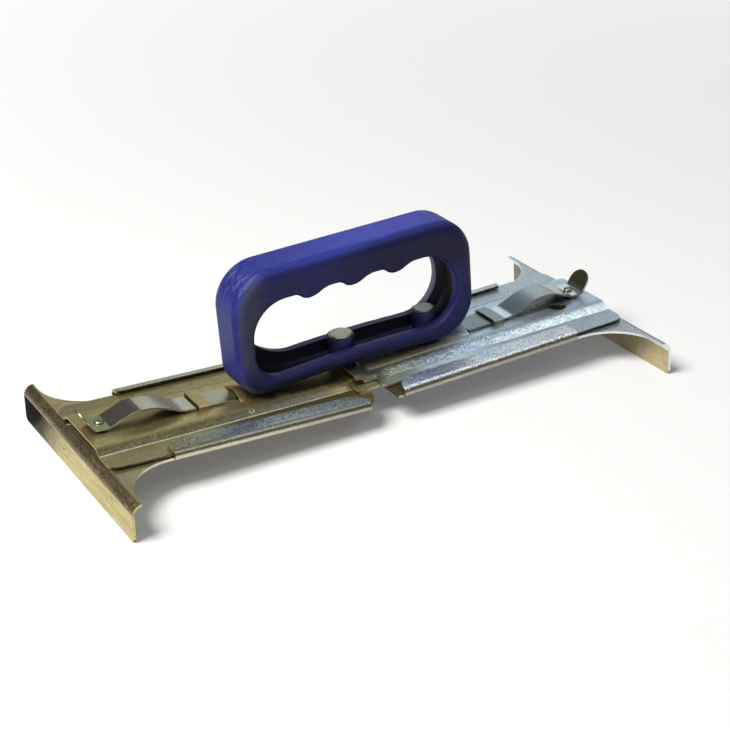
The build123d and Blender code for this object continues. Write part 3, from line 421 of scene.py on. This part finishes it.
def plastic(name):
    """Deep blue-violet moulded plastic with a fine satin skin, scuffs, a little bloom and a mould line, plus painted
    light: a highlight at the top left, and shade on the front, back and end faces, across the top, in the opening and
    on the bottom bar.
    """
    t = Tree(name)
    co = t.co
    x, y, z = [t.math("MULTIPLY", c, 1000.0) for c in t.xyz(co)]
    nx, ny, nz = t.xyz(t.no)
    blotch = t.noise(co, 30, 4, 0.6)
    skin = t.noise(co, 1900, 4, 0.65)
    wave = t.noise(co, 160, 3, 0.55)
    scuffs = t.noise(t.map(co, (60, 700, 260), rot=(0.3, 0.4, 0.8)), 1, 3, 0.7)
    nicks = t.noise(t.map(co, (260, 900, 900), rot=(0.1, 0.5, 0.2), loc=(1.3, 0.2, 0.7)), 1, 2, 0.6)
    colour = t.ramp(blotch, [(0.3, (0.0095, 0.0135, 0.104)), (0.7, (0.0125, 0.0175, 0.130))])
    colour = t.mix(0.55, colour, t.ramp(skin, [(0.3, 0.62), (0.7, 1.30)]), "MULTIPLY")
    pores = t.noise(co, 760, 3, 0.6)
    colour = t.mix(0.6, colour, t.ramp(pores, [(0.32, 0.50), (0.68, 1.42)]), "MULTIPLY")
    wear_and_highlight = t.math("MULTIPLY", t.step(scuffs, 0.60, 0.76), t.step(blotch, 0.44, 0.62))
    wear_and_highlight = t.math("MAXIMUM", wear_and_highlight, t.math("MULTIPLY", t.step(nicks, 0.70, 0.78), 0.8))
    # Scuffs plus painted highlight: the handle's top left is lightened where its highlight streak falls, over the
    # scuffs.
    corner_scuff_highlight = t.math("MULTIPLY", t.step(x, -62.0, -46.0, 1.0, 0.0), t.step(z, 68.0, 80.0))
    wear_and_highlight = t.math("MAXIMUM", wear_and_highlight, t.math("MULTIPLY", corner_scuff_highlight, t.step(scuffs, 0.50, 0.66)))
    colour = t.mix(t.math("MULTIPLY", wear_and_highlight, 0.30), colour, (0.17, 0.16, 0.33))
    seam = t.step(t.math("ABSOLUTE", t.math("SUBTRACT", y, 2.6)), 0.06, 0.24, 1.0, 0.0)
    colour = t.mix(t.math("MULTIPLY", seam, 0.35), colour, (0.004, 0.004, 0.03))
    # Painted light: up-facing surfaces are brightest over the middle and darker towards left and right.
    over = t.ramp(t.math("DIVIDE", t.math("ADD", x, 80.0), 160.0), [(0.06, 0.60), (0.30, 0.80), (0.52, 1.06), (0.75, 0.92), (0.94, 0.68)])
    colour = t.mix(t.step(nz, 0.2, 0.7), colour, t.mix(1.0, colour, over, "MULTIPLY"))
    # Painted shade: front and back faces are darkened and greyed.
    flank = t.step(t.math("ABSOLUTE", ny), 0.55, 0.95)
    colour = t.mix(flank, colour, t.mix(0.8, colour, (0.70, 0.52, 0.41), "MULTIPLY"))
    # Painted shade: the bottom of the front and back faces is darkened further.
    foot = t.math("MULTIPLY", flank, t.step(z, 20.0, 34.0, 1.0, 0.0))
    colour = t.mix(foot, colour, t.mix(1.0, colour, (0.62, 0.60, 0.46), "MULTIPLY"))
    # Painted shade: the rounded front top edge over the middle is darkened to mute its highlight.
    round_top_shade = t.math("MULTIPLY", t.math("MULTIPLY", t.step(ny, -0.50, -0.25, 1.0, 0.0), t.step(z, 62.0, 72.0)), t.step(x, -20.0, 20.0))
    colour = t.mix(round_top_shade, colour, t.mix(0.85, colour, (0.50, 0.40, 0.40), "MULTIPLY"))
    bloom = t.math("MULTIPLY", flank, t.math("MULTIPLY", t.math("MULTIPLY", t.step(x, -60.0, -48.0, 0.75, 0.0), t.step(z, 32.0, 44.0)), t.step(wave, 0.3, 0.6, 0.6, 1.0)))
    colour = t.mix(bloom, colour, (0.033, 0.034, 0.050))
    # Painted shade: the end faces are darkened.
    ends = t.step(t.math("ABSOLUTE", nx), 0.6, 0.95)
    colour = t.mix(ends, colour, t.mix(0.8, colour, (0.42, 0.44, 0.575), "MULTIPLY"))
    # Painted shade: inside the opening, walls are painted near-black, the trough floor dark grey and the bosses dark
    # blue.
    within = t.math("MULTIPLY", t.math("MULTIPLY", t.step(x, -64.0, -63.0), t.step(x, 66.5, 67.5, 1.0, 0.0)),
                    t.math("MULTIPLY", t.step(t.math("ABSOLUTE", y), 8.65, 8.9, 1.0, 0.0), t.step(z, 72.0, 74.0, 1.0, 0.0)))
    stud = t.math("MAXIMUM", spot(t, (x, y, z), -4.2, 0.0, 8.4, 8.4, 0.12), spot(t, (x, y, z), 46.2, 0.0, 8.4, 8.4, 0.12))
    colour = t.mix(t.math("MULTIPLY", within, 0.92), colour, t.mix(stud, t.mix(t.math("MULTIPLY", t.step(nz, 0.5, 0.8, 1.0, 0.0), t.step(z, 30.0, 34.0, 1.0, 0.0)), t.mix(t.step(y, 2.0, 6.0), (0.006, 0.0058, 0.0085), (0.016, 0.0155, 0.021)), (0.038, 0.036, 0.045)), (0.024, 0.022, 0.075)))
    # Painted shade: the up-facing front rim of the bottom bar is darkened, as the grip above shades it.
    lower_rim_shade = t.math("MULTIPLY", t.math("MULTIPLY", t.step(z, 40.0, 46.0, 1.0, 0.0), t.step(nz, 0.2, 0.7)), t.step(y, -9.6, -8.8, 1.0, 0.0))
    colour = t.mix(t.math("MULTIPLY", lower_rim_shade, 0.8), colour, (0.0110, 0.0098, 0.040))
    bow = t.math("MULTIPLY", t.math("MULTIPLY", within, t.step(x, 50.0, 58.0)), t.step(z, 33.0, 40.0))
    colour = t.mix(bow, colour, (0.032, 0.031, 0.045))
    # Painted shade: the far wall inside the opening is darkened, greyer at the bottom right.
    rear = t.math("MULTIPLY", t.math("MULTIPLY", t.step(x, -64.0, -63.0), t.step(x, 66.5, 67.5, 1.0, 0.0)),
                  t.math("MULTIPLY", t.math("MULTIPLY", t.step(y, 8.0, 8.9), t.step(ny, 0.45, 0.7, 1.0, 0.0)),
                         t.math("MULTIPLY", t.step(z, 26.0, 27.0), t.step(z, 72.0, 74.0, 1.0, 0.0))))
    colour = t.mix(t.math("MULTIPLY", rear, 0.75), colour, t.mix(t.math("MULTIPLY", t.step(x, 40.0, 54.0), t.step(z, 33.0, 40.0)), (0.010, 0.0095, 0.026), (0.105, 0.102, 0.145)))
    rough = t.math("ADD", t.ramp(wave, [(0.25, 0.41), (0.75, 0.51)]), t.math("MULTIPLY", wear_and_highlight, 0.12))
    n = t.bump(t.math("ADD", t.math("ADD", skin, t.math("MULTIPLY", pores, 1.4)), t.math("MULTIPLY", seam, -0.8)), 0.42, 0.00009)
    n = t.bump(wave, 0.10, 0.0005, n)
    t.set(Base_Color=colour, Roughness=rough, Normal=n)
    t.put(t.bsdf.inputs["Specular IOR Level"], t.math("SUBTRACT", 0.21, t.math("MULTIPLY", ends, 0.02)))
    return t.m


def spring(name, colour_a, colour_b, edge, rough, dull):
    """Smooth zinc-plated spring leaf, with faint lengthways drawing lines. `dull` lists stretches given another colour
    and more roughness: from, to, strength, colour.
    """
    t = Tree(name)
    co = t.co
    x = t.math("MULTIPLY", t.xyz(co)[0], 1000.0)
    nx, ny, nz = t.xyz(t.no)
    up = t.step(nz, 0.2, 0.6)
    blotch = t.noise(co, 60, 3, 0.5)
    lines = t.noise(t.map(co, (30, 2600, 300)), 1, 3, 0.6)
    fine = t.noise(co, 1500, 2, 0.5)
    colour = t.mix(t.step(blotch, 0.35, 0.7), colour_a, colour_b)
    recoloured = 0.0
    for lo, hi, strength, tone in dull:
        part = t.math("MULTIPLY", t.step(x, lo - 0.6, lo + 0.6), t.step(x, hi - 0.6, hi + 0.6, 1.0, 0.0))
        colour = t.mix(t.math("MULTIPLY", part, strength), colour, tone)
        recoloured = t.math("MAXIMUM", part, recoloured)
    colour = t.mix(up, edge, colour)
    # Painted shade: the leaf's underside is painted near-black.
    colour = t.mix(t.step(nz, -0.5, -0.2, 1.0, 0.0), colour, (0.07, 0.068, 0.055))
    colour = t.mix(0.22, colour, t.ramp(lines, [(0.3, 0.8), (0.7, 1.1)]), "MULTIPLY")
    colour = t.mix(0.5, colour, t.ramp(fine, [(0.3, 0.9), (0.7, 1.06)]), "MULTIPLY")
    r = t.math("ADD", t.ramp(lines, [(0.2, rough - 0.03), (0.8, rough + 0.05)]), t.math("MULTIPLY", recoloured, 0.16))
    n = t.bump(t.math("ADD", lines, t.math("MULTIPLY", fine, 0.6)), 0.07, 0.00004)
    n = t.bump(blotch, 0.12, 0.0006, n)
    t.set(Base_Color=colour, Metallic=1.0, Roughness=r, Normal=n)
    return t.m


GREY = zinc("zinc_grey_sheet", paint_grey_plate, 0.42, 0.24, 0.3)
GREY_SLIDE = zinc("zinc_grey_slide", paint_grey_slide, 0.42, 0.26, 1.9)
YELLOW = zinc("zinc_yellow_sheet", paint_yellow_plate, 0.42, 0.24, 4.2)
YELLOW_SLIDE = zinc("zinc_yellow_slide", paint_yellow_slide, 0.40, 0.26, 6.6)
SPRING_R = spring("spring_zinc_right", (0.46, 0.54, 0.54), (0.42, 0.48, 0.46), (0.40, 0.40, 0.35), 0.17,
                  [(60.0, 84.0, 0.9, (0.17, 0.215, 0.24)), (84.0, 93.0, 0.7, (0.22, 0.27, 0.28)), (100.0, 126.0, 0.6, (0.25, 0.31, 0.32)), (144.8, 170.0, 0.95, (0.10, 0.088, 0.036))])
SPRING_L = spring("spring_zinc_left", (0.40, 0.39, 0.30), (0.36, 0.36, 0.27), (0.58, 0.56, 0.46), 0.18,
                  [(-136.2, -119.8, 0.85, (0.17, 0.16, 0.125)), (-170.0, -144.6, 0.9, (0.12, 0.115, 0.08)),
                   (-84.5, -55.0, 0.85, (0.46, 0.455, 0.31)), (-145.0, -136.2, 0.85, (0.40, 0.42, 0.22))])
RIVET = zinc("rivet_head_zinc", paint_rivet, 0.38, 0.10, 8.8, 0.15)
PLASTIC = plastic("handle_plastic")


# ---------------------------------------------------------------- pieces

def refined(node, name, body, material, edge, segments=2, limit=26.0, angle=0.12):
    """A closed copy of a CAD node with its sharp edges broken, which stands for the node."""
    src = NODES[node].data
    bm = bmesh.new()
    bm.from_mesh(src)
    bmesh.ops.remove_doubles(bm, verts=bm.verts, dist=3e-6)
    bmesh.ops.dissolve_degenerate(bm, edges=bm.edges, dist=2e-5)
    bmesh.ops.dissolve_limit(bm, angle_limit=math.radians(angle), use_dissolve_boundaries=False,
                             verts=bm.verts, edges=bm.edges, delimit=set())
    me = bpy.data.meshes.new(name)
    bm.to_mesh(me)
    bm.free()
    for p in me.polygons:
        p.use_smooth = True
    ob = bpy.data.objects.new(name, me)
    bpy.context.scene.collection.objects.link(ob)
    if edge:
        b = ob.modifiers.new("broken_edges", "BEVEL")
        b.width = edge * MM
        b.segments = segments
        b.limit_method = "ANGLE"
        b.angle_limit = math.radians(limit)
        b.use_clamp_overlap = True
        b.harden_normals = False
        b.miter_outer = "MITER_SHARP"
    w = ob.modifiers.new("flat_faces", "WEIGHTED_NORMAL")
    w.keep_sharp = False
    w.weight = 60
    me.materials.append(material)
    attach(ob, body)
    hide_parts(node)
    return ob


refined("handle", "handle_moulding", "right_frame", PLASTIC, 0.35, 3)
refined("right_plate", "right_plate_sheet", "right_frame", GREY, 0.2)
refined("left_plate", "left_plate_sheet", "left_frame", YELLOW, 0.2)
refined("right_jaw_slide", "right_slide_sheet", "right_jaw", GREY_SLIDE, 0.22)
refined("left_jaw_slide", "left_slide_sheet", "left_jaw", YELLOW_SLIDE, 0.22)
refined("right_latch_spring", "right_leaf", "right_latch", SPRING_R, 0.12, limit=11.0)
refined("left_latch_spring", "left_leaf", "left_latch", SPRING_L, 0.12, limit=11.0)
refined("right_latch_pin", "right_pin", "right_latch", RIVET, 0.12)
refined("left_latch_pin", "left_pin", "left_latch", RIVET, 0.12)
refined("centre_rivet", "centre_rivet_head", "right_frame", RIVET, 0.2)
refined("outer_rivet", "outer_rivet_head", "right_frame", RIVET, 0.2)


# ---------------------------------------------------------------- studio

def floor():
    bm = bmesh.new()
    bmesh.ops.create_grid(bm, x_segments=12, y_segments=12, size=4.0)
    me = bpy.data.meshes.new("studio_floor")
    bm.to_mesh(me)
    bm.free()
    ob = bpy.data.objects.new("studio_floor", me)
    bpy.context.scene.collection.objects.link(ob)
    t = Tree("glowing_floor_paper")
    n = t.noise(t.co, 240, 3, 0.5)
    t.set(Base_Color=t.ramp(n, [(0.3, (0.298, 0.297, 0.294)), (0.7, (0.308, 0.307, 0.304))]), Roughness=0.9)
    t.bsdf.inputs["Specular IOR Level"].default_value = 0.1
    t.bsdf.inputs["Emission Color"].default_value = (1.0, 1.0, 1.0, 1)
    fx, fy, fz = t.xyz(t.co)
    away = t.math("SQRT", t.math("ADD", t.math("MULTIPLY", fx, fx), t.math("MULTIPLY", fy, fy)))
    # Painted light: the floor glows, weakly near the object and more strongly further out, so the floor around the
    # object reads darker.
    t.put(t.bsdf.inputs["Emission Strength"], t.step(away, 0.25, 1.5, 0.12, 0.55))
    me.materials.append(t.m)
    ob.location = (0, 0, -0.00005)


def area(name, place, aim, size, radiance, colour=(1, 1, 1)):
    d = bpy.data.lights.new(name, "AREA")
    d.shape = "RECTANGLE"
    d.size, d.size_y = size
    d.energy = radiance * math.pi * size[0] * size[1]
    d.color = colour
    ob = bpy.data.objects.new(name, d)
    z = (Vector(place) - Vector(aim)).normalized()
    x = Vector((0, 1, 0)).cross(z) if abs(z.y) < 0.95 else Vector((1, 0, 0))
    x.normalize()
    y = z.cross(x)
    m = Matrix((x, y, z)).transposed().to_4x4()
    m.translation = Vector(place)
    ob.matrix_world = m
    bpy.context.scene.collection.objects.link(ob)
    return ob


def studio():
    floor()
    area("key_box", (-1.03, 0.0, 1.6), (0, 0, 0.02), (1.0, 1.0), 15.0, (1.0, 0.99, 0.97))
    soft = area("key_wash", (-1.03, 0.0, 1.6), (0, 0, 0.02), (1.0, 1.0), 24.0, (1.0, 0.99, 0.97))
    soft.visible_glossy = False
    area("top_right_box", (1.30, -0.10, 1.65), (0.1, 0, 0), (0.8, 0.8), 3.0, (0.93, 0.97, 1.0))
    area("front_box", (-0.15, -1.0, 1.5), (0, 0, 0.02), (1.2, 0.8), 2.2, (1.0, 0.99, 0.98))
    area("back_right_box", (1.20, 1.85, 0.98), (0.1, 0, 0), (1.3, 0.8), 1.15, (0.92, 0.97, 1.0))
    w = bpy.data.worlds.new("studio")
    bpy.context.scene.world = w
    w.use_nodes = True
    nt = w.node_tree
    bg = nt.nodes["Background"]
    tc = nt.nodes.new("ShaderNodeTexCoord")
    sep = nt.nodes.new("ShaderNodeSeparateXYZ")
    ramp = nt.nodes.new("ShaderNodeValToRGB")
    nt.links.new(tc.outputs["Generated"], sep.inputs[0])
    nt.links.new(sep.outputs[2], ramp.inputs[0])
    r = ramp.color_ramp
    r.elements[0].position, r.elements[0].color = 0.0, (0.045, 0.042, 0.036, 1)
    r.elements[1].position, r.elements[1].color = 0.8, (0.20, 0.22, 0.24, 1)
    nt.links.new(ramp.outputs[0], bg.inputs[0])
    bg.inputs[1].default_value = 1.0


def camera():
    d = bpy.data.cameras.new("photo_view")
    d.lens = 84.75
    d.sensor_width = 36.0
    d.clip_start = 0.01
    ob = bpy.data.objects.new("photo_view", d)
    right = Vector((0.87032, -0.49053, -0.04373))
    up = Vector((0.25012, 0.36379, 0.89727))
    back = Vector((-0.42423, -0.79186, 0.43931))
    m = Matrix((right, up, back)).transposed().to_4x4()
    m.translation = Vector((-0.37502, -0.71743, 0.41379))
    ob.matrix_world = m
    bpy.context.scene.collection.objects.link(ob)
    bpy.context.scene.camera = ob


studio()
camera()
view = bpy.context.scene.view_settings
view.view_transform = "Standard"
view.look = "None"
view.exposure = 0.0
